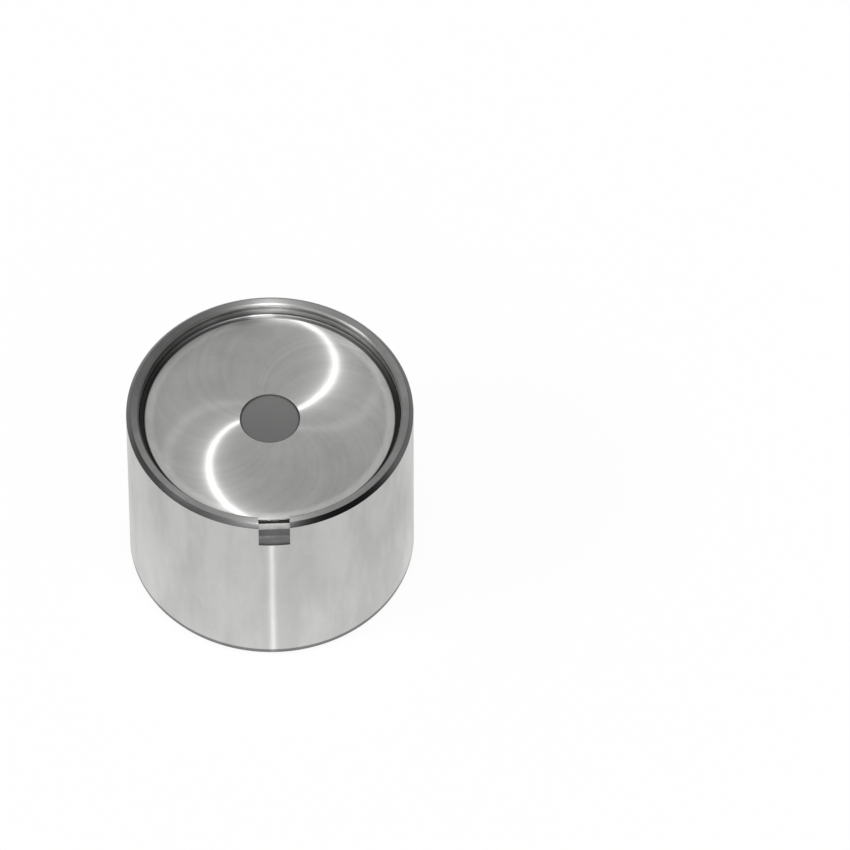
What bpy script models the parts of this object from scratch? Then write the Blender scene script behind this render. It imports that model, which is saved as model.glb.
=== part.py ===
"""Mechanical valve lifter, the bucket that slides in a cylinder head between a cam and a valve.

It is one piece of steel: a thin skirt, open below, under a crown. A ground pocket in the crown
seats the adjusting shim, a notch through the rim lets a pick in under that shim, and the boss
beneath the crown rests on the valve stem. The lifter stands on the open end of its skirt, with +Z
along its axis towards the crown and the notch facing -Y. Lengths are in metres.
"""

import math
from dataclasses import dataclass

import bmesh
import bpy
from mathutils import Vector

# Outside
OUTER_DIAMETER = 0.0350
HEIGHT = 0.0267
RIM_CHAMFER = 0.00050
SKIRT_CHAMFER = 0.00035

# Shim pocket in the crown, measured down from the rim
RIM_WALL = 0.00150
POCKET_DEPTH = 0.00170
POCKET_CHAMFER = 0.00020
UNDERCUT_WIDTH = 0.00070
UNDERCUT_DEPTH = 0.00025
UNDERCUT_FILLET = 0.00025
RELIEF_DIAMETER = 0.00730
RELIEF_DEPTH = 0.00025
RELIEF_SLOPE = 0.00010

# Notch through the rim
NOTCH_WIDTH = 0.00380
NOTCH_DEPTH = 0.00390
NOTCH_SETBACK = 0.00010
NOTCH_CHAMFER = 0.00050
NOTCH_FILLET = 0.00030

# Skirt
SKIRT_WALL = 0.00120
BORE_CHAMFER = 0.00030

# Inside of the crown, from the skirt's bore inwards
SHOULDER_WIDTH = 0.00170
SHOULDER_HEIGHT = 0.00140
SHOULDER_BLEND = 0.00150
SHOULDER_EDGE = 0.00015
RECESS_DEPTH = 0.00090
RECESS_FILLET = 0.00065
DISH_DEPTH = 0.00080

# Boss that meets the valve stem
CROWN_THICKNESS = 0.00320
BOSS_DIAMETER = 0.00890
BOSS_HEIGHT = 0.00060
BOSS_CHAMFER = 0.00035
BOSS_FILLET = 0.00025

# Facets: steps in a full turn, the turn of one step along a blend, and the most of a section's
# side that one blend may take
TURN_STEPS = 96
BLEND_STEP = math.radians(22.5)
BLEND_SHARE = 0.45
SHARP_EDGE = math.radians(28)
WELD = 0.000001

# How far a cutter stands out past what it cuts
CUT_CLEARANCE = 0.0010

# Radii from the axis
OUTER_RADIUS = OUTER_DIAMETER / 2
POCKET_RADIUS = OUTER_RADIUS - RIM_WALL
SEAT_RADIUS = POCKET_RADIUS - UNDERCUT_WIDTH
RELIEF_RADIUS = RELIEF_DIAMETER / 2
NOTCH_END_RADIUS = POCKET_RADIUS + NOTCH_SETBACK
BORE_RADIUS = OUTER_RADIUS - SKIRT_WALL
RECESS_RADIUS = BORE_RADIUS - SHOULDER_WIDTH
BOSS_RADIUS = BOSS_DIAMETER / 2

# Heights above the skirt's open end
SEAT_HEIGHT = HEIGHT - POCKET_DEPTH
UNDERCUT_FLOOR = SEAT_HEIGHT - UNDERCUT_DEPTH
RELIEF_FLOOR = SEAT_HEIGHT - RELIEF_DEPTH
NOTCH_FLOOR = HEIGHT - NOTCH_DEPTH
BOSS_FACE = SEAT_HEIGHT - CROWN_THICKNESS
BOSS_ROOT = BOSS_FACE + BOSS_HEIGHT
DISH_EDGE = BOSS_ROOT - DISH_DEPTH
SHOULDER_TOP = DISH_EDGE - RECESS_DEPTH
SHOULDER_FOOT = SHOULDER_TOP - SHOULDER_HEIGHT


@dataclass(frozen=True)
class Corner:
    """A corner of a section: its radius from the axis, its height, and the radius that rounds it."""

    radius: float
    height: float
    blend: float = 0.0

    @property
    def place(self):
        """The corner as a point of the section's plane."""
        return Vector((self.radius, self.height))


def rounded(before, corner, after, blend):
    """The points of the arc of radius blend that is tangent to both sides of the corner."""
    back, ahead = before - corner, after - corner
    half_angle = back.angle(ahead) / 2
    longest = BLEND_SHARE * min(back.length, ahead.length)
    setback = min(blend / math.tan(half_angle), longest)
    radius = setback * math.tan(half_angle)
    inwards = (back.normalized() + ahead.normalized()).normalized()
    centre = corner + inwards * setback / math.cos(half_angle)
    first = (corner + back.normalized() * setback - centre).normalized()
    last = (corner + ahead.normalized() * setback - centre).normalized()
    count = math.ceil((math.pi - 2 * half_angle) / BLEND_STEP)
    return [centre + radius * first.slerp(last, step / count) for step in range(count + 1)]


def outline(corners):
    """The section's points in order, with every blend as points along its arc."""
    points = [corners[0].place]
    for before, corner, after in zip(corners, corners[1:], corners[2:]):
        if corner.blend:
            points += rounded(before.place, corner.place, after.place, corner.blend)
        else:
            points.append(corner.place)
    points.append(corners[-1].place)
    return points


def crown_section():
    """Corners from the axis outwards over the relief, the shim seat, its undercut and the rim."""
    return [
        Corner(0, RELIEF_FLOOR),
        Corner(RELIEF_RADIUS - RELIEF_SLOPE, RELIEF_FLOOR),
        Corner(RELIEF_RADIUS, SEAT_HEIGHT),
        Corner(SEAT_RADIUS, SEAT_HEIGHT),
        Corner(SEAT_RADIUS, UNDERCUT_FLOOR),
        Corner(POCKET_RADIUS, UNDERCUT_FLOOR, UNDERCUT_FILLET),
        Corner(POCKET_RADIUS, HEIGHT - POCKET_CHAMFER),
        Corner(POCKET_RADIUS + POCKET_CHAMFER, HEIGHT),
        Corner(OUTER_RADIUS - RIM_CHAMFER, HEIGHT),
        Corner(OUTER_RADIUS, HEIGHT - RIM_CHAMFER),
    ]


def skirt_section():
    """Corners down the sliding surface, round the open end and up the bore."""
    return [
        Corner(OUTER_RADIUS, SKIRT_CHAMFER),
        Corner(OUTER_RADIUS - SKIRT_CHAMFER, 0),
        Corner(BORE_RADIUS + BORE_CHAMFER, 0),
        Corner(BORE_RADIUS, BORE_CHAMFER),
    ]


def underside_section():
    """Corners from the bore inwards over the shoulder, the dished recess and the boss, to the axis."""
    return [
        Corner(BORE_RADIUS, SHOULDER_FOOT, SHOULDER_BLEND),
        Corner(RECESS_RADIUS, SHOULDER_TOP, SHOULDER_EDGE),
        Corner(RECESS_RADIUS, DISH_EDGE, RECESS_FILLET),
        Corner(BOSS_RADIUS, BOSS_ROOT, BOSS_FILLET),
        Corner(BOSS_RADIUS, BOSS_FACE + BOSS_CHAMFER),
        Corner(BOSS_RADIUS - BOSS_CHAMFER, BOSS_FACE),
        Corner(0, BOSS_FACE),
    ]


def notch_section():
    """Corners round the notch: in past the rim, down its chamfered end wall, and out along its floor."""
    above = HEIGHT + CUT_CLEARANCE
    outside = OUTER_RADIUS + CUT_CLEARANCE
    lead_in = UNDERCUT_DEPTH / 2
    inside = NOTCH_END_RADIUS - NOTCH_CHAMFER - lead_in
    return [
        Corner(outside, above),
        Corner(inside, above),
        Corner(inside, UNDERCUT_FLOOR + lead_in),
        Corner(NOTCH_END_RADIUS, UNDERCUT_FLOOR - NOTCH_CHAMFER),
        Corner(NOTCH_END_RADIUS, NOTCH_FLOOR, NOTCH_FILLET),
        Corner(outside, NOTCH_FLOOR),
    ]


def placed(name, form):
    """A scene object made from the bmesh, which is closed and freed."""
    bmesh.ops.recalc_face_normals(form, faces=form.faces)
    mesh = bpy.data.meshes.new(name)
    form.to_mesh(mesh)
    form.free()
    body = bpy.data.objects.new(name, mesh)
    bpy.context.collection.objects.link(body)
    return body


def turned_body(name, corners):
    """A solid turned about Z from a section that starts and ends on the axis."""
    form = bmesh.new()
    points = [form.verts.new((point.x, 0, point.y)) for point in outline(corners)]
    sides = [form.edges.new(pair) for pair in zip(points, points[1:])]
    bmesh.ops.spin(
        form,
        geom=points + sides,
        cent=(0, 0, 0),
        axis=(0, 0, 1),
        angle=2 * math.pi,
        steps=TURN_STEPS,
        use_merge=True,
    )
    bmesh.ops.remove_doubles(form, verts=form.verts, dist=WELD)
    body = placed(name, form)
    body.data.shade_smooth()
    body.data.set_sharp_from_angle(angle=SHARP_EDGE)
    return body


def milled_cutter(name, corners, width):
    """A prism that stands for a milling cut of this width, its section facing -Y."""
    form = bmesh.new()
    ring = [form.verts.new((-width / 2, -point.x, point.y)) for point in outline(corners)]
    side = form.faces.new(ring)
    swept = bmesh.ops.extrude_face_region(form, geom=[side])["geom"]
    moved = [item for item in swept if isinstance(item, bmesh.types.BMVert)]
    bmesh.ops.translate(form, verts=moved, vec=(width, 0, 0))
    cutter = placed(name, form)
    cutter.display_type = "WIRE"
    cutter.hide_render = True
    return cutter


def cut(body, cutter):
    """Takes the cutter's shape out of the body."""
    modifier = body.modifiers.new(cutter.name, "BOOLEAN")
    modifier.operation = "DIFFERENCE"
    modifier.solver = "EXACT"
    modifier.object = cutter


def ground_steel():
    """Hardened steel with a fine ground finish."""
    material = bpy.data.materials.new("ground_steel")
    material.use_nodes = True
    shader = material.node_tree.nodes["Principled BSDF"]
    shader.inputs["Base Color"].default_value = (0.60, 0.60, 0.59, 1)
    shader.inputs["Metallic"].default_value = 1.0
    shader.inputs["Roughness"].default_value = 0.28
    return material


def clear_scene():
    """Removes every object, so that only the lifter is left."""
    for old in list(bpy.data.objects):
        bpy.data.objects.remove(old, do_unlink=True)


def main():
    clear_scene()
    bucket = turned_body("lifter_bucket", crown_section() + skirt_section() + underside_section())
    cut(bucket, milled_cutter("rim_notch", notch_section(), NOTCH_WIDTH))
    bucket.data.materials.append(ground_steel())


if __name__ == "__main__":
    main()
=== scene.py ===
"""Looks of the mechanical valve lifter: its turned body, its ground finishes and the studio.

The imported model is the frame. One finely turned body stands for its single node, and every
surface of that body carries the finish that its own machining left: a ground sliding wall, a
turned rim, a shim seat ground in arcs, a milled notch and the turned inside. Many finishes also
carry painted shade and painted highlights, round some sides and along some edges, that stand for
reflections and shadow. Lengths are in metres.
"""

import enum
import logging
import math
from dataclasses import dataclass, field

import bmesh
import bpy
from mathutils import Matrix, Vector


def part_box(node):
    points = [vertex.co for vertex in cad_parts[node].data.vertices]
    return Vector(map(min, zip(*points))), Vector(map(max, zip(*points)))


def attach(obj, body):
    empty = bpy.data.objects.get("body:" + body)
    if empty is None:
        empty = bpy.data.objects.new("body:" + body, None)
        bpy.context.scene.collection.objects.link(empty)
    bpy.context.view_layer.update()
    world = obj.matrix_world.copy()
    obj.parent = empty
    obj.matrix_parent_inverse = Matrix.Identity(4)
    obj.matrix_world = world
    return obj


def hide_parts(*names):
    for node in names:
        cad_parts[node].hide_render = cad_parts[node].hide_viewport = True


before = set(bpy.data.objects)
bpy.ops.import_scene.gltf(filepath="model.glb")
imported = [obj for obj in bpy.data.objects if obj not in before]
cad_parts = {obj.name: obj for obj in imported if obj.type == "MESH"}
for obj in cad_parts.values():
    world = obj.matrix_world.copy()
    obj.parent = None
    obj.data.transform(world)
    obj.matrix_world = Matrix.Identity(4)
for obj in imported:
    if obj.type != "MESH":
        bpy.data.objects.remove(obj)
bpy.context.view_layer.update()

NODE = "lifter_bucket"
BODY = "root"
MM = 0.001

# Width of the soft inner edge of a film of painted light and shade round one side
FILM_EDGE = 1.0 * MM

# The mean height that the group of tool marks gives
MIDDLE_MARK = 0.8

log = logging.getLogger("valve_lifter")


class Zone(enum.IntEnum):
    """The surfaces of the lifter, each the material slot of its own finish."""

    WALL = 0
    RIM = 1
    RIM_CHAMFER = 2
    POCKET_WALL = 3
    UNDERCUT = 4
    SEAT = 5
    RELIEF = 6
    NOTCH = 7
    NOTCH_CHAMFER = 8
    SKIRT_END = 9
    SKIRT_CHAMFER = 10
    BORE = 11
    SHOULDER = 12
    UNDERSIDE = 13
    BOSS = 14
    POCKET_CHAMFER = 15
    BOSS_CHAMFER = 16


class Lay(enum.Enum):
    """The way that the tool marks of a finish run."""

    ROUND = "round the axis"
    ARCS = "in arcs from the centre outwards"
    NONE = "no way in particular"


@dataclass(frozen=True)
class Corner:
    """A corner of a section.

    Args:
        radius: Distance from the axis.
        height: Height above the skirt's open end.
        ease: How far back along both sides its rounding starts.
    """

    radius: float
    height: float
    ease: float = 0.0


class ShaderTree:
    """A node tree with short ways to add its nodes and wire them."""

    def __init__(self, tree: bpy.types.NodeTree) -> None:
        """Takes over the tree and clears it."""
        self.tree = tree
        tree.nodes.clear()

    def add(self, kind: str, **settings: object) -> bpy.types.Node:
        """Adds a node.

        Args:
            kind: The node's type, without its ShaderNode start.
            settings: Properties of the node, by name.

        Returns:
            The new node.
        """
        node = self.tree.nodes.new(kind if kind.startswith("NodeGroup") else "ShaderNode" + kind)
        for name, value in settings.items():
            setattr(node, name, value)
        return node

    def feed(self, socket: bpy.types.NodeSocket, value: object) -> None:
        """Wires an output to a socket, or sets the socket to a plain value."""
        if isinstance(value, bpy.types.NodeSocket):
            self.tree.links.new(value, socket)
        else:
            socket.default_value = value

    def maths(self, operation: str, *values: object, clamp: bool = False) -> bpy.types.NodeSocket:
        """Adds a Math node.

        Args:
            operation: The node's operation.
            values: Outputs or numbers for its inputs, in order.
            clamp: Whether the result is kept between 0 and 1.

        Returns:
            The node's output.
        """
        node = self.add("Math", operation=operation, use_clamp=clamp)
        for socket, value in zip(node.inputs, values):
            self.feed(socket, value)
        return node.outputs[0]

    def vectors(
        self, operation: str, *values: object, output: str = "Vector"
    ) -> bpy.types.NodeSocket:
        """Adds a Vector Math node.

        Args:
            operation: The node's operation.
            values: Outputs or plain values for its inputs, in order.
            output: The name of the output that is wanted.

        Returns:
            That output.
        """
        node = self.add("VectorMath", operation=operation)
        others = [node.inputs["Scale"]] if operation == "SCALE" else node.inputs[1:3]
        for socket, value in zip([node.inputs[0], *others], values):
            self.feed(socket, value)
        return node.outputs[output]

    def ramp(
        self, value: object, low: float, high: float, start: float = 0.0, end: float = 1.0
    ) -> bpy.types.NodeSocket:
        """Carries a value from one range over to another, smoothly.

        Args:
            value: An output or a number.
            low: The start of its range.
            high: The end of its range.
            start: What the range's start becomes.
            end: What the range's end becomes.

        Returns:
            The Map Range node's output.
        """
        node = self.add("MapRange", interpolation_type="SMOOTHSTEP")
        for name, given in (("Value", value), ("From Min", low), ("From Max", high)):
            self.feed(node.inputs[name], given)
        node.inputs["To Min"].default_value = start
        node.inputs["To Max"].default_value = end
        return node.outputs["Result"]

    def noise(
        self, vector: object, scale: float, detail: float, roughness: float = 0.5
    ) -> bpy.types.NodeSocket:
        """Adds a Noise texture.

        Args:
            vector: Its coordinates.
            scale: Its scale.
            detail: How many finer layers it has.
            roughness: How strong the finer layers are.

        Returns:
            Its value output.
        """
        node = self.add("TexNoise", noise_dimensions="3D")
        self.feed(node.inputs["Vector"], vector)
        node.inputs["Scale"].default_value = scale
        node.inputs["Detail"].default_value = detail
        node.inputs["Roughness"].default_value = roughness
        return node.outputs[0]


class SharedEffects:
    """The shader node groups that several finishes use, each built once.

    Its constants are the groups' fixed proportions: a scale or a share is set against the main
    pattern of the same group, a range is the part of a pattern's values that shows, and waves and
    fields are counted for each metre.
    """

    BROAD_MARK_SCALE = 0.22
    BROAD_MARK_SHARE = 0.6
    FINE_PATCH_SCALE = 4.5
    FINE_PATCH_SHARE = 0.35
    PATCH_RANGE = (0.45, 0.9)
    WAVES = 900.0
    WAVE_SHARE = 0.3
    SPECK_FIELDS = 420.0
    SPECK_RANGE = (0.5, 0.75)
    LARGEST_SPECK = 0.32
    SPECK_EDGE = 0.08
    SCRATCH_TURNS = ((0.4, 0.6), (1.5, -0.8), (2.5, 0.3))
    SCRATCH_SIZE = (0.16 * MM, 9.0 * MM, 2.5 * MM)
    SCRATCH_RANGE = (0.72, 0.78)

    def __init__(self) -> None:
        """Builds the groups."""
        self.marks = self.tool_marks()
        self.cloud = self.clouding()
        self.band = self.ring_band()
        self.speck = self.specks()
        self.scratch = self.scratches()

    @staticmethod
    def group(
        name: str, inputs: dict[str, float | None], output: str
    ) -> tuple[ShaderTree, dict, dict]:
        """Starts a node group.

        Args:
            name: The group's name.
            inputs: Its inputs by name, with a default value, or None for a vector.
            output: The name of its one output, a value.

        Returns:
            The group's tree, its inputs by name, and its output socket by name.
        """
        tree = bpy.data.node_groups.new(name, "ShaderNodeTree")
        shaders = ShaderTree(tree)
        for title, default in inputs.items():
            kind = "NodeSocketVector" if default is None else "NodeSocketFloat"
            socket = tree.interface.new_socket(title, in_out="INPUT", socket_type=kind)
            if default is not None:
                socket.default_value = default
        tree.interface.new_socket(output, in_out="OUTPUT", socket_type="NodeSocketFloat")
        entry = shaders.add("NodeGroupInput")
        exit_node = shaders.add("NodeGroupOutput")
        return shaders, dict(entry.outputs.items()), dict(exit_node.inputs.items())

    def tool_marks(self) -> bpy.types.NodeTree:
        """The group of fine parallel marks: their height, from a vector that changes across."""
        inputs = {"Across": None, "Marks per Metre": 8000.0}
        shaders, given, wanted = self.group("tool_marks", inputs, "Height")
        place = shaders.vectors("SCALE", given["Across"], given["Marks per Metre"])
        fine = shaders.noise(place, 1.0, 2.0)
        broad = shaders.noise(place, self.BROAD_MARK_SCALE, 2.0)
        both = shaders.maths("MULTIPLY_ADD", broad, self.BROAD_MARK_SHARE, fine)
        shaders.feed(wanted["Height"], both)
        return shaders.tree

    def clouding(self) -> bpy.types.NodeTree:
        """The group of soft patches that oil, handling and uneven grinding leave, from 0 to 1."""
        inputs = {"Place": None, "Patches per Metre": 200.0}
        shaders, given, wanted = self.group("clouding", inputs, "Patches")
        place = shaders.vectors("SCALE", given["Place"], given["Patches per Metre"])
        wide = shaders.noise(place, 1.0, 3.0, 0.55)
        fine = shaders.noise(place, self.FINE_PATCH_SCALE, 4.0, 0.65)
        both = shaders.maths("MULTIPLY_ADD", fine, self.FINE_PATCH_SHARE, wide)
        shaders.feed(wanted["Patches"], shaders.ramp(both, *self.PATCH_RANGE))
        return shaders.tree

    def ring_band(self) -> bpy.types.NodeTree:
        """The group of an uneven band along an edge: 1 past a distance, falling to 0 before it;
        most edge tones that use it are painted shade and painted highlights.
        """
        inputs = {"Distance": 0.0, "Place": None, "Start": 0.015, "End": 0.0155}
        shaders, given, wanted = self.group("ring_band", inputs, "Band")
        waver = shaders.noise(given["Place"], self.WAVES, 2.0)
        span = shaders.maths("SUBTRACT", given["End"], given["Start"])
        leeway = shaders.maths("MULTIPLY", span, self.WAVE_SHARE)
        shift = shaders.maths("MULTIPLY", shaders.maths("SUBTRACT", waver, 0.5), leeway)
        place = shaders.maths("ADD", given["Distance"], shift)
        reach = shaders.maths("DIVIDE", shaders.maths("SUBTRACT", place, given["Start"]), span)
        shaders.feed(wanted["Band"], shaders.ramp(reach, 0.0, 1.0))
        return shaders.tree

    def specks(self) -> bpy.types.NodeTree:
        """The group of small sparse specks and pits, 1 in a speck and 0 around it."""
        inputs = {"Place": None, "Specks per Metre": 900.0}
        shaders, given, wanted = self.group("specks", inputs, "Specks")
        cells = shaders.add("TexVoronoi", feature="F1")
        shaders.feed(cells.inputs["Vector"], given["Place"])
        shaders.feed(cells.inputs["Scale"], given["Specks per Metre"])
        size = shaders.noise(given["Place"], self.SPECK_FIELDS, 1.0)
        reach = shaders.ramp(size, *self.SPECK_RANGE, end=self.LARGEST_SPECK)
        inside = shaders.maths("SUBTRACT", reach, cells.outputs["Distance"])
        shaders.feed(wanted["Specks"], shaders.ramp(inside, 0.0, self.SPECK_EDGE))
        return shaders.tree

    def scratches(self) -> bpy.types.NodeTree:
        """The group of faint crossing hairline scratches, 1 in a scratch and 0 around it."""
        inputs = {"Place": None, "Density": 1.0}
        shaders, given, wanted = self.group("scratches", inputs, "Scratches")
        lines = []
        for turn, tilt in self.SCRATCH_TURNS:
            turned = shaders.add("Mapping", vector_type="TEXTURE")
            shaders.feed(turned.inputs["Vector"], given["Place"])
            turned.inputs["Rotation"].default_value = (tilt, tilt / 2, turn)
            turned.inputs["Scale"].default_value = self.SCRATCH_SIZE
            hairs = shaders.noise(turned.outputs[0], 1.0, 0.0)
            lines.append(shaders.ramp(hairs, *self.SCRATCH_RANGE))
        most = shaders.maths("MAXIMUM", shaders.maths("MAXIMUM", lines[0], lines[1]), lines[2])
        seen = shaders.maths("MULTIPLY", most, given["Density"], clamp=True)
        shaders.feed(wanted["Scratches"], seen)
        return shaders.tree


@dataclass(frozen=True)
class Band:
    """A tone that a finish takes along one of its edges; in most finishes it is painted light,
    shade under 1 and a highlight over 1, that stands for reflections and shadow there.

    Args:
        upright: Whether the band is met going up the axis, and otherwise going out from it.
        start: Where it starts.
        end: Where it is full.
        tone: What it multiplies the colour by.
    """

    upright: bool
    start: float
    end: float
    tone: float


@dataclass(frozen=True)
class Film:
    """Painted light and shade that a finish takes round one side of the lifter: a tone under 1 is
    painted shade for darker reflections there, a tone over 1 a painted highlight.

    Args:
        azimuth: The middle of that side, as a turn from +X.
        reach: How far round to each way it fades out.
        tone: What it multiplies the colour by at its middle.
        beyond: The distance from the axis past which it is full.
    """

    azimuth: float
    reach: float
    tone: float
    beyond: float = 0.0


@dataclass(frozen=True)
class Finish:
    """What one machining step leaves on a steel surface, with the painted shade and painted
    highlights that some surfaces carry.

    Args:
        zone: The surface that it is on.
        colour: The metal's colour.
        roughness: The middle roughness.
        anisotropic: How strongly the marks stretch a highlight.
        lay: The way that the marks run.
        marks: Marks for each metre across them.
        depth: How deep they look.
        patchiness: How far the patches change roughness.
        stain: How far the patches darken the colour.
        patch: Size of a patch.
        drawn: How many times longer than wide a patch is, along the axis.
        streak: How far the coarser marks change the colour.
        streaks: Coarser marks for each metre across them.
        specks: How far specks darken the colour.
        scratches: How far hairlines lighten the colour.
        films: Painted shade and painted highlights round the sides.
        bands: Tones along the edges, most of them painted shade and painted highlights.
        glint: Share of the bright thread that the cleanest marks add.
        glint_along: How far that thread spreads along the marks.
        glint_across: How far it spreads across them.
        arc_radius: Radius of the marks that run in arcs.
    """

    zone: Zone
    colour: tuple[float, float, float]
    roughness: float
    anisotropic: float = 0.0
    lay: Lay = Lay.ROUND
    marks: float = 9000.0
    depth: float = 0.0002 * MM
    patchiness: float = 0.05
    stain: float = 0.08
    patch: float = 5.0 * MM
    drawn: float = 1.0
    streak: float = 0.0
    streaks: float = 1500.0
    specks: float = 0.0
    scratches: float = 0.0
    films: tuple[Film, ...] = ()
    bands: tuple[Band, ...] = ()
    glint: float = 0.0
    glint_along: float = 0.02
    glint_across: float = 0.50
    arc_radius: float = 7.75 * MM

    def lay_vectors(
        self, shaders: ShaderTree, place: bpy.types.NodeSocket
    ) -> tuple[bpy.types.NodeSocket, bpy.types.NodeSocket]:
        """The way that the marks run at a place, and a vector that only changes across them.

        Args:
            shaders: The material's tree.
            place: The place on the lifter.

        Returns:
            The way of the marks, and the vector across them.
        """
        flat = shaders.vectors("MULTIPLY", place, (1, 1, 0))
        turned = shaders.vectors("CROSS_PRODUCT", (0, 0, 1), flat)
        if self.lay is Lay.NONE:
            return turned, place
        radius = shaders.vectors("LENGTH", flat, output="Value")
        if self.lay is Lay.ROUND:
            parts = shaders.add("SeparateXYZ")
            shaders.feed(parts.inputs[0], place)
            across = shaders.add("CombineXYZ")
            mixed = shaders.maths("SUBTRACT", radius, parts.outputs["Z"])
            shaders.feed(across.inputs["X"], mixed)
            return turned, across.outputs[0]
        sine = shaders.maths("MULTIPLY", radius, 1 / (2 * self.arc_radius), clamp=True)
        square = shaders.maths("MULTIPLY", sine, sine)
        cosine = shaders.maths("SQRT", shaders.maths("SUBTRACT", 1.0, square))
        outwards = shaders.vectors("NORMALIZE", flat)
        sideways = shaders.vectors("NORMALIZE", turned)
        ahead = shaders.vectors("SCALE", outwards, cosine)
        aside = shaders.vectors("SCALE", sideways, sine)
        along = shaders.vectors("SUBTRACT", ahead, aside)
        normal = shaders.vectors("ADD", ahead, aside)
        across = shaders.vectors("SCALE", normal, self.arc_radius)
        return along, across

    def tone(
        self,
        shaders: ShaderTree,
        effects: SharedEffects,
        place: bpy.types.NodeSocket,
        across: bpy.types.NodeSocket,
        patches: bpy.types.NodeSocket,
    ) -> bpy.types.NodeSocket:
        """How much of the metal's colour is left at each place, with the painted shade and painted
        highlights of its films and bands.

        Args:
            shaders: The material's tree.
            effects: The shared shader groups.
            place: The place on the lifter.
            across: A vector that only changes across the marks.
            patches: The clouding there, from 0 to 1.

        Returns:
            The factor on the colour.
        """
        tone = shaders.maths("MULTIPLY_ADD", patches, -self.stain, 1 + self.stain / 2)
        parts = shaders.add("SeparateXYZ")
        shaders.feed(parts.inputs[0], place)
        flat = shaders.vectors("MULTIPLY", place, (1, 1, 0))
        radius = shaders.vectors("LENGTH", flat, output="Value")
        # Bands: tones along edges, in most finishes painted shade and painted highlights
        for band in self.bands:
            edge = shaders.add("Group", node_tree=effects.band)
            shaders.feed(edge.inputs["Distance"], parts.outputs["Z"] if band.upright else radius)
            shaders.feed(edge.inputs["Place"], place)
            edge.inputs["Start"].default_value = band.start
            edge.inputs["End"].default_value = band.end
            factor = shaders.maths("MULTIPLY_ADD", edge.outputs["Band"], band.tone - 1, 1.0)
            tone = shaders.maths("MULTIPLY", tone, factor)
        outwards = shaders.vectors("NORMALIZE", flat)
        # Films: painted shade and painted highlights, by the point's turn about the axis
        for film in self.films:
            middle = (math.cos(film.azimuth), math.sin(film.azimuth), 0.0)
            side = shaders.vectors("DOT_PRODUCT", outwards, middle, output="Value")
            mask = shaders.ramp(side, math.cos(film.reach), 1.0)
            if film.beyond:
                outer = shaders.ramp(radius, film.beyond - FILM_EDGE, film.beyond)
                mask = shaders.maths("MULTIPLY", mask, outer)
            factor = shaders.maths("MULTIPLY_ADD", mask, film.tone - 1, 1.0)
            tone = shaders.maths("MULTIPLY", tone, factor)
        if self.streak:
            coarse = shaders.add("Group", node_tree=effects.marks)
            shaders.feed(coarse.inputs["Across"], across)
            coarse.inputs["Marks per Metre"].default_value = self.streaks
            middle = 1 - MIDDLE_MARK * self.streak
            factor = shaders.maths("MULTIPLY_ADD", coarse.outputs["Height"], self.streak, middle)
            tone = shaders.maths("MULTIPLY", tone, factor)
        for amount, tree in ((-self.specks, effects.speck), (self.scratches, effects.scratch)):
            if amount:
                flaw = shaders.add("Group", node_tree=tree)
                shaders.feed(flaw.inputs["Place"], place)
                factor = shaders.maths("MULTIPLY_ADD", flaw.outputs[0], amount, 1.0)
                tone = shaders.maths("MULTIPLY", tone, factor)
        return tone

    def material(self, effects: SharedEffects) -> bpy.types.Material:
        """Makes the material.

        Args:
            effects: The shared shader groups.

        Returns:
            The new material.
        """
        material = bpy.data.materials.new(self.zone.name.lower() + "_steel")
        material.use_nodes = True
        shaders = ShaderTree(material.node_tree)
        shader = shaders.add("BsdfPrincipled")
        shader.inputs["Metallic"].default_value = 1.0
        place = shaders.add("TexCoord").outputs["Object"]
        along, across = self.lay_vectors(shaders, place)
        if self.anisotropic:
            shader.inputs["Anisotropic"].default_value = self.anisotropic
            shader.inputs["Anisotropic Rotation"].default_value = 0.25
            shaders.feed(shader.inputs["Tangent"], along)
        cloud = shaders.add("Group", node_tree=effects.cloud)
        squeezed = shaders.vectors("MULTIPLY", place, (1, 1, 1 / self.drawn))
        shaders.feed(cloud.inputs["Place"], squeezed)
        cloud.inputs["Patches per Metre"].default_value = 1 / self.patch
        patches = cloud.outputs["Patches"]
        smoothest = self.roughness - self.patchiness
        spread = shaders.maths("MULTIPLY_ADD", patches, 2 * self.patchiness, smoothest)
        shaders.feed(shader.inputs["Roughness"], spread)
        tone = self.tone(shaders, effects, place, across, patches)
        colour = shaders.vectors("SCALE", self.colour, tone)
        shaders.feed(shader.inputs["Base Color"], colour)
        marks = shaders.add("Group", node_tree=effects.marks)
        shaders.feed(marks.inputs["Across"], across)
        marks.inputs["Marks per Metre"].default_value = self.marks
        bump = shaders.add("Bump")
        bump.inputs["Strength"].default_value = 1.0
        bump.inputs["Distance"].default_value = self.depth
        shaders.feed(bump.inputs["Height"], marks.outputs["Height"])
        shaders.feed(shader.inputs["Normal"], bump.outputs["Normal"])
        surface = shader.outputs["BSDF"]
        if self.glint:
            surface = self.threaded(shaders, surface, colour, along)
        shaders.feed(shaders.add("OutputMaterial").inputs["Surface"], surface)
        return material

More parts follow.
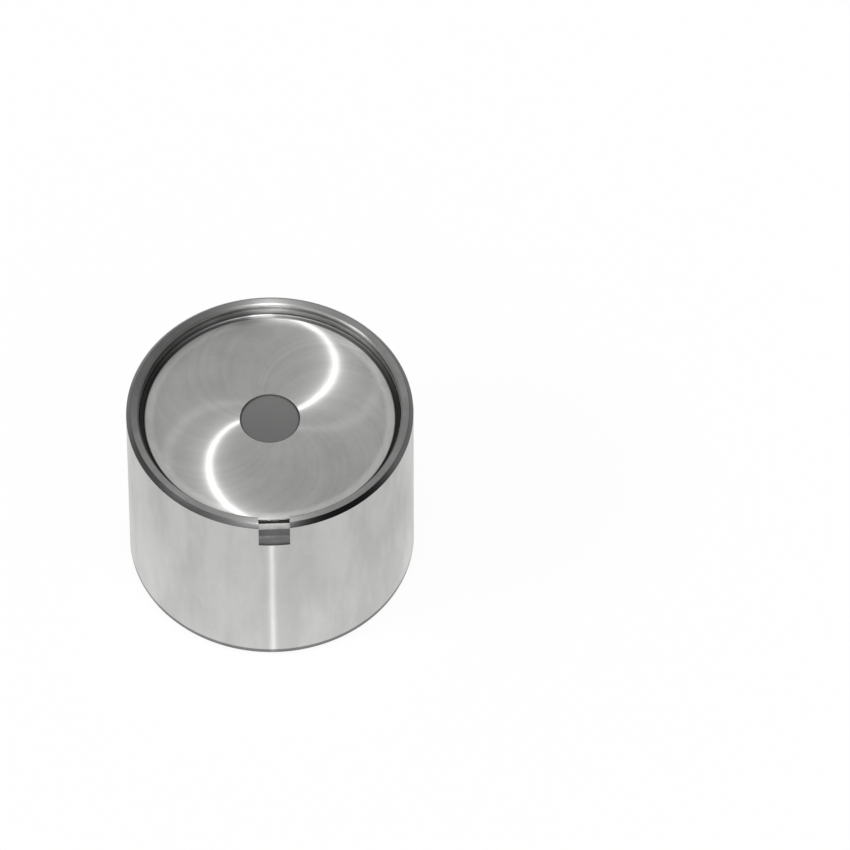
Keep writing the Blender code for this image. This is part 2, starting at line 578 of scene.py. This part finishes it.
    def threaded(
        self,
        shaders: ShaderTree,
        surface: bpy.types.NodeSocket,
        colour: bpy.types.NodeSocket,
        along: bpy.types.NodeSocket,
    ) -> bpy.types.NodeSocket:
        """Adds the narrow thread of light that parallel marks draw across themselves.

        Args:
            shaders: The material's tree.
            surface: The shader of the rest of the surface.
            colour: The metal's colour there.
            along: The way that the marks run.

        Returns:
            The shader of both.
        """
        thread = shaders.add("BsdfAnisotropic", distribution="GGX")
        shaders.feed(thread.inputs["Color"], colour)
        roughness = (self.glint_along * self.glint_across) ** 0.25
        thread.inputs["Roughness"].default_value = roughness
        stretch = 1 - (self.glint_along / self.glint_across) ** 0.5
        thread.inputs["Anisotropy"].default_value = stretch
        shaders.feed(thread.inputs["Tangent"], along)
        blend = shaders.add("MixShader")
        blend.inputs[0].default_value = self.glint
        shaders.feed(blend.inputs[1], surface)
        shaders.feed(blend.inputs[2], thread.outputs[0])
        return blend.outputs[0]


# Painted shade round the back left, standing for the darker reflections that the rim, the pocket
# wall and its chamfer show on that side
BACK_FILM = Film(math.radians(143), math.radians(57), 0.55)

FINISHES = (
    # Wall: lighter towards the bottom; darker in its last millimetre above the foot, painted shade
    # of the floor contact and an unground strip
    Finish(Zone.WALL, (0.505, 0.505, 0.497), 0.34, anisotropic=0.7, patchiness=0.05, stain=0.16,
           patch=5.0 * MM, drawn=4.0, scratches=0.03,
           bands=(Band(True, 19.0 * MM, 2.0 * MM, 1.13), Band(True, 1.10 * MM, 0.90 * MM, 0.35)),
           glint=0.07, glint_along=0.007),
    # Rim: its film is the painted shade at the back left
    Finish(Zone.RIM, (0.40, 0.40, 0.395), 0.38, anisotropic=0.8, stain=0.2, patch=3.0 * MM,
           streak=0.25, streaks=2500.0, films=(BACK_FILM,), glint=0.06, glint_along=0.05),
    # Rim chamfer: its films are painted shade, nearly black at the front right and darker at the
    # front left
    Finish(Zone.RIM_CHAMFER, (0.15, 0.15, 0.15), 0.36, anisotropic=0.5,
           films=(Film(math.radians(300), math.radians(34), 0.08),
                  Film(math.radians(215), math.radians(35), 0.45))),
    # Pocket wall: its films are painted shade at the back left and at the back; its bands are a
    # painted reflection, full tone low down, a dark ring higher up and less dark at the top
    Finish(Zone.POCKET_WALL, (0.50, 0.50, 0.49), 0.35, anisotropic=0.5,
           films=(BACK_FILM, Film(math.radians(100), math.radians(16), 0.5)),
           bands=(Band(True, 25.70 * MM, 25.95 * MM, 0.35),
                  Band(True, 26.25 * MM, 26.45 * MM, 2.2)),
           glint=0.1, glint_along=0.05),
    # Undercut: its near-black colour is painted shade for the dark surroundings that the groove
    # reflects; its films are painted highlights of the key lamp at the back
    Finish(Zone.UNDERCUT, (0.035, 0.035, 0.035), 0.45,
           films=(Film(math.radians(80), math.radians(75), 4.5),
                  Film(math.radians(92), math.radians(7), 2.0))),
    # Seat: its films are painted shade over the glint near its edge, at the back and the front
    # left; its bands make a lighter ring inside the edge and a dark line of painted shade at the
    # edge
    Finish(Zone.SEAT, (0.61, 0.61, 0.60), 0.37, anisotropic=0.65, lay=Lay.ARCS,
           patchiness=0.03, stain=0.12, patch=4.0 * MM, streak=0.22, scratches=0.03,
           films=(Film(math.radians(93), math.radians(16), 0.6, 14.9 * MM),
                  Film(math.radians(256), math.radians(12), 0.7, 14.9 * MM)),
           bands=(Band(False, 13.9 * MM, 14.6 * MM, 1.3),
                  Band(False, 15.14 * MM, 15.24 * MM, 0.3)),
           glint=0.30, glint_along=0.036, glint_across=0.45),
    # Relief: its band is painted shade round the edge of the hollow
    Finish(Zone.RELIEF, (0.20, 0.20, 0.198), 0.60, patch=2.0 * MM, specks=0.2,
           bands=(Band(False, 3.40 * MM, 3.55 * MM, 0.5),)),
    Finish(Zone.NOTCH, (0.235, 0.235, 0.235), 0.85, lay=Lay.NONE, patch=1.5 * MM,
           bands=(Band(False, 17.00 * MM, 17.35 * MM, 0.5),)),
    Finish(Zone.NOTCH_CHAMFER, (0.33, 0.33, 0.325), 0.40, lay=Lay.NONE, patch=1.2 * MM, stain=0.5),
    Finish(Zone.SKIRT_END, (0.45, 0.45, 0.44), 0.35, anisotropic=0.6),
    # Skirt chamfer: its near-black colour is painted shade, the dark line where the skirt meets
    # the floor
    Finish(Zone.SKIRT_CHAMFER, (0.10, 0.10, 0.10), 0.45, anisotropic=0.6),
    Finish(Zone.BORE, (0.40, 0.40, 0.39), 0.42, anisotropic=0.7, specks=0.5),
    Finish(Zone.SHOULDER, (0.25, 0.25, 0.245), 0.50, specks=0.4),
    Finish(Zone.UNDERSIDE, (0.50, 0.50, 0.49), 0.38, anisotropic=0.8, streak=0.3, glint=0.12,
           glint_along=0.05),
    Finish(Zone.BOSS, (0.72, 0.72, 0.71), 0.30, specks=0.6),
    # Boss chamfer: its near-black colour is painted shade, the dark outline round the boss
    Finish(Zone.BOSS_CHAMFER, (0.07, 0.07, 0.07), 0.45),
    # Pocket chamfer: its films are painted shade at the back left, the left and the front right,
    # and a painted highlight at the back right
    Finish(Zone.POCKET_CHAMFER, (0.27, 0.27, 0.265), 0.34, anisotropic=0.6,
           films=(BACK_FILM, Film(math.radians(57), math.radians(22), 1.6),
                  Film(math.radians(212), math.radians(38), 0.35),
                  Film(math.radians(325), math.radians(25), 0.5)),
           glint=0.1, glint_along=0.08),
)


@dataclass
class Bucket:
    """The lifter's one piece of steel, turned, milled and ground."""

    outer_radius: float
    height: float
    rim_chamfer: float = 0.50 * MM
    skirt_chamfer: float = 0.35 * MM
    rim_wall: float = 1.50 * MM
    pocket_depth: float = 1.70 * MM
    pocket_chamfer: float = 0.20 * MM
    undercut_width: float = 0.70 * MM
    undercut_depth: float = 0.25 * MM
    undercut_fillet: float = 0.25 * MM
    relief_radius: float = 3.65 * MM
    relief_depth: float = 0.25 * MM
    relief_slope: float = 0.10 * MM
    notch_width: float = 3.80 * MM
    notch_depth: float = 3.90 * MM
    notch_setback: float = 0.10 * MM
    notch_chamfer: float = 0.50 * MM
    notch_fillet: float = 0.30 * MM
    skirt_wall: float = 1.20 * MM
    bore_chamfer: float = 0.30 * MM
    shoulder_width: float = 1.70 * MM
    shoulder_height: float = 1.40 * MM
    shoulder_ease: float = 0.70 * MM
    recess_depth: float = 0.90 * MM
    recess_ease: float = 0.40 * MM
    dish_depth: float = 0.80 * MM
    crown_thickness: float = 3.20 * MM
    boss_radius: float = 4.45 * MM
    boss_height: float = 0.60 * MM
    boss_chamfer: float = 0.35 * MM
    boss_ease: float = 0.20 * MM
    edge_ease: float = 0.06 * MM
    foot_ease: float = 0.22 * MM
    steps: int = 384
    ease_segments: int = 4
    weld: float = 0.0005 * MM
    clearance: float = 1.0 * MM
    sharp_edge: float = math.radians(25)
    chamfer_slopes: tuple[float, float] = (0.3, 0.9)
    dressing: dict[Zone, bpy.types.Material] = field(default_factory=dict)

    @property
    def pocket_radius(self) -> float:
        """Radius of the wall that centres the shim."""
        return self.outer_radius - self.rim_wall

    @property
    def seat_radius(self) -> float:
        """Outer radius of the ground shim seat."""
        return self.pocket_radius - self.undercut_width

    @property
    def bore_radius(self) -> float:
        """Radius of the skirt's bore."""
        return self.outer_radius - self.skirt_wall

    @property
    def recess_radius(self) -> float:
        """Radius of the recess turned into the crown's underside."""
        return self.bore_radius - self.shoulder_width

    @property
    def seat_height(self) -> float:
        """Height of the shim seat."""
        return self.height - self.pocket_depth

    @property
    def boss_face(self) -> float:
        """Height of the face that meets the valve stem."""
        return self.seat_height - self.crown_thickness

    @property
    def dish_edge(self) -> float:
        """Height of the underside where it meets the recess's wall."""
        return self.boss_face + self.boss_height - self.dish_depth

    def section(self) -> list[Corner]:
        """Corners from the axis over the crown, down the wall, up the inside, back to the axis.

        Returns:
            The corners in order.
        """
        ease = self.edge_ease
        relief_floor = self.seat_height - self.relief_depth
        undercut_floor = self.seat_height - self.undercut_depth
        shoulder_top = self.dish_edge - self.recess_depth
        return [
            Corner(0, relief_floor),
            Corner(self.relief_radius - self.relief_slope, relief_floor, ease),
            Corner(self.relief_radius, self.seat_height, ease),
            Corner(self.seat_radius, self.seat_height, ease / 2),
            Corner(self.seat_radius, undercut_floor, ease),
            Corner(self.pocket_radius, undercut_floor, self.undercut_fillet),
            Corner(self.pocket_radius, self.height - self.pocket_chamfer, ease / 2),
            Corner(self.pocket_radius + self.pocket_chamfer, self.height, ease / 2),
            Corner(self.outer_radius - self.rim_chamfer, self.height, ease),
            Corner(self.outer_radius, self.height - self.rim_chamfer, ease),
            Corner(self.outer_radius, self.skirt_chamfer, self.foot_ease),
            Corner(self.outer_radius - self.skirt_chamfer, 0, ease),
            Corner(self.bore_radius + self.bore_chamfer, 0, ease),
            Corner(self.bore_radius, self.bore_chamfer, ease),
            Corner(self.bore_radius, shoulder_top - self.shoulder_height, self.shoulder_ease),
            Corner(self.recess_radius, shoulder_top, ease * 2),
            Corner(self.recess_radius, self.dish_edge, self.recess_ease),
            Corner(self.boss_radius, self.boss_face + self.boss_height, self.boss_ease),
            Corner(self.boss_radius, self.boss_face + self.boss_chamfer, ease),
            Corner(self.boss_radius - self.boss_chamfer, self.boss_face, ease),
            Corner(0, self.boss_face),
        ]

    def notch_section(self) -> list[Corner]:
        """Corners round the notch: in past the rim, down its end wall and out along its floor.

        Returns:
            The corners in order.
        """
        above = self.height + self.clearance
        outside = self.outer_radius + self.clearance
        end = self.pocket_radius + self.notch_setback
        lead_in = self.undercut_depth / 2
        inside = end - self.notch_chamfer - lead_in
        undercut_floor = self.seat_height - self.undercut_depth
        return [
            Corner(outside, above),
            Corner(inside, above),
            Corner(inside, undercut_floor + lead_in),
            Corner(end, undercut_floor - self.notch_chamfer, self.edge_ease),
            Corner(end, self.height - self.notch_depth, self.notch_fillet),
            Corner(outside, self.height - self.notch_depth),
        ]

    def wire(self, corners: list[Corner], place: Matrix, closed: bool) -> bmesh.types.BMesh:
        """Draws a section as a chain of edges and rounds its corners.

        Args:
            corners: The section's corners.
            place: Carries the section's plane, radius along X and height along Z, to its place.
            closed: Whether the last corner joins the first.

        Returns:
            A new bmesh with the chain.
        """
        form = bmesh.new()
        points = [Vector((corner.radius, 0, corner.height)) for corner in corners]
        verts = [form.verts.new(place @ point) for point in points]
        followers = verts[1:] + verts[:1] if closed else verts[1:]
        for pair in zip(verts, followers):
            form.edges.new(pair)
        for vert, corner in zip(verts, corners):
            if corner.ease:
                bmesh.ops.bevel(
                    form,
                    geom=[vert],
                    offset=corner.ease,
                    offset_type="OFFSET",
                    segments=self.ease_segments,
                    profile=0.5,
                    affect="VERTICES",
                    material=-1,
                )
        return form

    def turned(self) -> bpy.types.Object:
        """Turns the section about the axis.

        Returns:
            The turned body, before its notch.
        """
        form = self.wire(self.section(), Matrix.Identity(4), closed=False)
        bmesh.ops.spin(
            form,
            geom=form.verts[:] + form.edges[:],
            cent=(0, 0, 0),
            axis=(0, 0, 1),
            angle=2 * math.pi,
            steps=self.steps,
            use_merge=True,
        )
        bmesh.ops.remove_doubles(form, verts=form.verts, dist=self.weld)
        return self.placed("lifter_body", form)

    def notch_cutter(self) -> bpy.types.Object:
        """Makes the milling cut's shape, on the side of the notch at -Y.

        Returns:
            The cutter.
        """
        to_front = Matrix.Rotation(-math.pi / 2, 4, "Z")
        place = Matrix.Translation((-self.notch_width / 2, 0, 0)) @ to_front
        form = self.wire(self.notch_section(), place, closed=True)
        side = bmesh.ops.contextual_create(form, geom=form.edges[:])["faces"]
        swept = bmesh.ops.extrude_face_region(form, geom=side)["geom"]
        moved = [item for item in swept if isinstance(item, bmesh.types.BMVert)]
        bmesh.ops.translate(form, verts=moved, vec=(self.notch_width, 0, 0))
        chamfer_foot = self.seat_height - self.undercut_depth - self.notch_chamfer
        steepest, flattest = self.chamfer_slopes
        for face in form.faces:
            high = face.calc_center_median().z > chamfer_foot - self.edge_ease
            sloped = steepest < abs(face.normal.z) < flattest
            face.material_index = Zone.NOTCH_CHAMFER if sloped and high else Zone.NOTCH
        return self.placed("notch_cutter", form)

    def placed(self, name: str, form: bmesh.types.BMesh) -> bpy.types.Object:
        """Makes an object at the origin from a bmesh, its faces outwards and its slots filled.

        Args:
            name: The object's name.
            form: The closed shape.

        Returns:
            The new object.
        """
        bmesh.ops.recalc_face_normals(form, faces=form.faces)
        mesh = bpy.data.meshes.new(name)
        form.to_mesh(mesh)
        form.free()
        for finish in sorted(FINISHES, key=lambda finish: finish.zone):
            mesh.materials.append(self.dressing[finish.zone])
        piece = bpy.data.objects.new(name, mesh)
        bpy.context.scene.collection.objects.link(piece)
        return piece

    def milled(self, body: bpy.types.Object, cutter: bpy.types.Object) -> None:
        """Cuts the cutter's shape out of the body for good, and removes the cutter."""
        modifier = body.modifiers.new("notch", "BOOLEAN")
        modifier.operation = "DIFFERENCE"
        modifier.solver = "EXACT"
        modifier.material_mode = "INDEX"
        modifier.object = cutter
        graph = bpy.context.evaluated_depsgraph_get()
        mesh = bpy.data.meshes.new_from_object(body.evaluated_get(graph))
        body.modifiers.clear()
        old, body.data = body.data, mesh
        mesh.name = body.name
        bpy.data.meshes.remove(old)
        bpy.data.objects.remove(cutter, do_unlink=True)

    def zone(self, place: Vector) -> Zone:
        """The surface that a point of the turned body is on.

        Args:
            place: The point.

        Returns:
            Its zone.
        """
        radius, height = place.xy.length, place.z
        hair = self.edge_ease / 8
        if height > self.seat_height - self.crown_thickness / 2:
            below_seat = height <= self.seat_height - hair
            tests = (
                (Zone.RELIEF, radius < self.relief_radius + hair
                    or below_seat and radius < self.relief_radius + self.edge_ease),
                (Zone.SEAT, radius < self.seat_radius + hair and not below_seat),
                (Zone.UNDERCUT, radius < self.pocket_radius + hair and height < self.seat_height),
                (Zone.POCKET_WALL, radius < self.pocket_radius + hair),
                (Zone.POCKET_CHAMFER, radius < self.pocket_radius + self.pocket_chamfer - hair),
                (Zone.RIM, height > self.height - hair),
                (Zone.RIM_CHAMFER, radius < self.outer_radius - hair),
            )
        else:
            shoulder_top = self.dish_edge - self.recess_depth
            tests = (
                (Zone.BOSS, radius < self.boss_radius - self.boss_chamfer),
                (Zone.BOSS_CHAMFER, radius < self.boss_radius + hair),
                (Zone.UNDERSIDE,
                    radius < self.recess_radius + hair and height > shoulder_top),
                (Zone.SHOULDER, radius < self.bore_radius - hair),
                (Zone.BORE, radius < self.bore_radius + hair and height > self.bore_chamfer),
                (Zone.SKIRT_END, height < hair),
                (Zone.SKIRT_CHAMFER, radius < self.outer_radius - hair),
            )
        return next((zone for zone, inside in tests if inside), Zone.WALL)

    def build(self) -> bpy.types.Object:
        """Makes the lifter's body, each face in the finish of its zone.

        Returns:
            The finished piece.
        """
        effects = SharedEffects()
        self.dressing = {finish.zone: finish.material(effects) for finish in FINISHES}
        body = self.turned()
        for face in body.data.polygons:
            face.material_index = self.zone(face.center)
        self.milled(body, self.notch_cutter())
        body.data.shade_smooth()
        body.data.set_sharp_from_angle(angle=self.sharp_edge)
        return body


@dataclass(frozen=True)
class Studio:
    """The pale floor, the soft surroundings, the two lamps and the camera.

    Args:
        turn: How far the camera stands round from the notch's side, about Z.
        elevation: The camera's height above the horizon.
        distance: The camera's distance from the point that it aims at.
        frame_width: Width of the picture at that point.
        aim: The point that it aims at, before the turn.
        sensor: Width of the camera's sensor, in its own millimetres.
        floor_side: Side of the square floor.
        floor_drop: How far the floor lies under the skirt's end.
        floor_grey: How light the floor's matt colour is.
        floor_glow: The share of the floor, as seen, that is plain white.
        tent_low: Strength of the soft surroundings near the horizon.
        tent_high: Their strength overhead.
        tent_heights: The heights between which that strength changes.
        key_elevation: The main lamp's height above the horizon.
        key_azimuth: Its turn to the camera's right.
        key_strength: Its strength.
        key_angle: How wide it looks.
        side_elevation: The height of the lamp at the side.
        side_azimuth: Its turn to the camera's right.
        side_strength: Its strength.
        side_angle: How wide it looks.
    """

    turn: float = math.radians(-2.2)
    elevation: float = math.radians(53.8)
    distance: float = 1.5
    frame_width: float = 105.66 * MM
    aim: tuple[float, float, float] = (18.89 * MM, 17.29 * MM, 0.0)
    sensor: float = 36.0
    floor_side: float = 6.0
    floor_drop: float = 0.02 * MM
    floor_grey: float = 0.62
    floor_glow: float = 0.85
    tent_low: float = 0.95
    tent_high: float = 0.6
    tent_heights: tuple[float, float] = (0.1, 0.9)
    key_elevation: float = math.radians(62)
    key_azimuth: float = math.radians(0.8)
    key_strength: float = 3.2
    key_angle: float = math.radians(1.6)
    side_elevation: float = math.radians(40)
    side_azimuth: float = math.radians(-73)
    side_strength: float = 0.5
    side_angle: float = math.radians(14)

    def towards(self, elevation: float, azimuth: float = 0.0) -> Vector:
        """The way to a point in the camera's upright plane, or turned out of it by azimuth.

        Args:
            elevation: Height above the horizon.
            azimuth: Turn to the camera's right.

        Returns:
            A unit vector away from the lifter.
        """
        level = Vector((math.sin(azimuth), -math.cos(azimuth), 0)) * math.cos(elevation)
        return Matrix.Rotation(self.turn, 3, "Z") @ (level + Vector((0, 0, math.sin(elevation))))

    def camera(self) -> None:
        """Places the camera at the photograph's angle and makes it the scene's."""
        lens = bpy.data.cameras.new("camera")
        lens.sensor_width = self.sensor
        lens.lens = self.sensor * self.distance / self.frame_width
        lens.clip_end = 20.0
        camera = bpy.data.objects.new("camera", lens)
        back = self.towards(self.elevation)
        target = Matrix.Rotation(self.turn, 3, "Z") @ Vector(self.aim)
        camera.location = target + back * self.distance
        camera.rotation_euler = back.to_track_quat("Z", "Y").to_euler()
        bpy.context.scene.collection.objects.link(camera)
        bpy.context.scene.camera = camera

    def lamp(self, name: str, way: Vector, strength: float, angle: float) -> None:
        """Places a far-off lamp.

        Args:
            name: The lamp's name.
            way: The way to it.
            strength: Its strength.
            angle: How wide it looks.
        """
        light = bpy.data.lights.new(name, "SUN")
        light.energy = strength
        light.angle = angle
        lamp = bpy.data.objects.new(name, light)
        lamp.rotation_euler = way.to_track_quat("Z", "Y").to_euler()
        bpy.context.scene.collection.objects.link(lamp)

    def floor(self) -> None:
        """Lays a pale floor that keeps the shadow and is clear from below."""
        form = bmesh.new()
        bmesh.ops.create_grid(form, x_segments=1, y_segments=1, size=self.floor_side / 2)
        bmesh.ops.translate(form, verts=form.verts, vec=(0, 0, -self.floor_drop))
        mesh = bpy.data.meshes.new("floor")
        form.to_mesh(mesh)
        form.free()
        floor = bpy.data.objects.new("floor", mesh)
        bpy.context.scene.collection.objects.link(floor)
        material = bpy.data.materials.new("pale_floor")
        material.use_nodes = True
        shaders = ShaderTree(material.node_tree)
        matt = shaders.add("BsdfPrincipled")
        grey = self.floor_grey
        matt.inputs["Base Color"].default_value = (grey, grey, grey, 1)
        matt.inputs["Roughness"].default_value = 0.9
        white = shaders.add("Emission")
        rays = shaders.add("LightPath")
        direct, mirrored = rays.outputs["Is Camera Ray"], rays.outputs["Is Glossy Ray"]
        seen = shaders.maths("MAXIMUM", direct, mirrored)
        blend = shaders.add("MixShader")
        shaders.feed(blend.inputs[0], shaders.maths("MULTIPLY", seen, self.floor_glow))
        shaders.feed(blend.inputs[1], matt.outputs[0])
        shaders.feed(blend.inputs[2], white.outputs[0])
        open_below = shaders.add("MixShader")
        shaders.feed(open_below.inputs[0], shaders.add("NewGeometry").outputs["Backfacing"])
        shaders.feed(open_below.inputs[1], blend.outputs[0])
        shaders.feed(open_below.inputs[2], shaders.add("BsdfTransparent").outputs[0])
        shaders.feed(shaders.add("OutputMaterial").inputs["Surface"], open_below.outputs[0])
        mesh.materials.append(material)

    def surroundings(self) -> None:
        """Makes the world: white to the camera, a soft tent dimmer overhead to the metal."""
        world = bpy.data.worlds.new("studio")
        world.use_nodes = True
        bpy.context.scene.world = world
        shaders = ShaderTree(world.node_tree)
        way = shaders.add("TexCoord").outputs["Generated"]
        upright = shaders.add("SeparateXYZ")
        shaders.feed(upright.inputs[0], way)
        tent = shaders.add("Background")
        strength = shaders.ramp(
            upright.outputs["Z"], *self.tent_heights, self.tent_low, self.tent_high)
        shaders.feed(tent.inputs["Strength"], strength)
        white = shaders.add("Background")
        white.inputs["Color"].default_value = (1, 1, 1, 1)
        rays = shaders.add("LightPath")
        blend = shaders.add("MixShader")
        shaders.feed(blend.inputs[0], rays.outputs["Is Camera Ray"])
        shaders.feed(blend.inputs[1], tent.outputs[0])
        shaders.feed(blend.inputs[2], white.outputs[0])
        shaders.feed(shaders.add("OutputWorld").inputs["Surface"], blend.outputs[0])

    def build(self) -> None:
        """Sets up the whole studio."""
        bpy.context.scene.view_settings.view_transform = "Standard"
        self.camera()
        key = self.towards(self.key_elevation, self.key_azimuth)
        self.lamp("key", key, self.key_strength, self.key_angle)
        side = self.towards(self.side_elevation, self.side_azimuth)
        self.lamp("side", side, self.side_strength, self.side_angle)
        self.floor()
        self.surroundings()


def main() -> None:
    """Builds the studio and the lifter."""
    logging.basicConfig(level=logging.INFO, format="%(name)s: %(message)s")
    Studio().build()
    low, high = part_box(NODE)
    body = Bucket(outer_radius=high.x, height=high.z - low.z).build()
    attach(body, BODY)
    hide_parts(NODE)
    log.info("%s: %d faces", body.name, len(body.data.polygons))


if __name__ == "__main__":
    main()
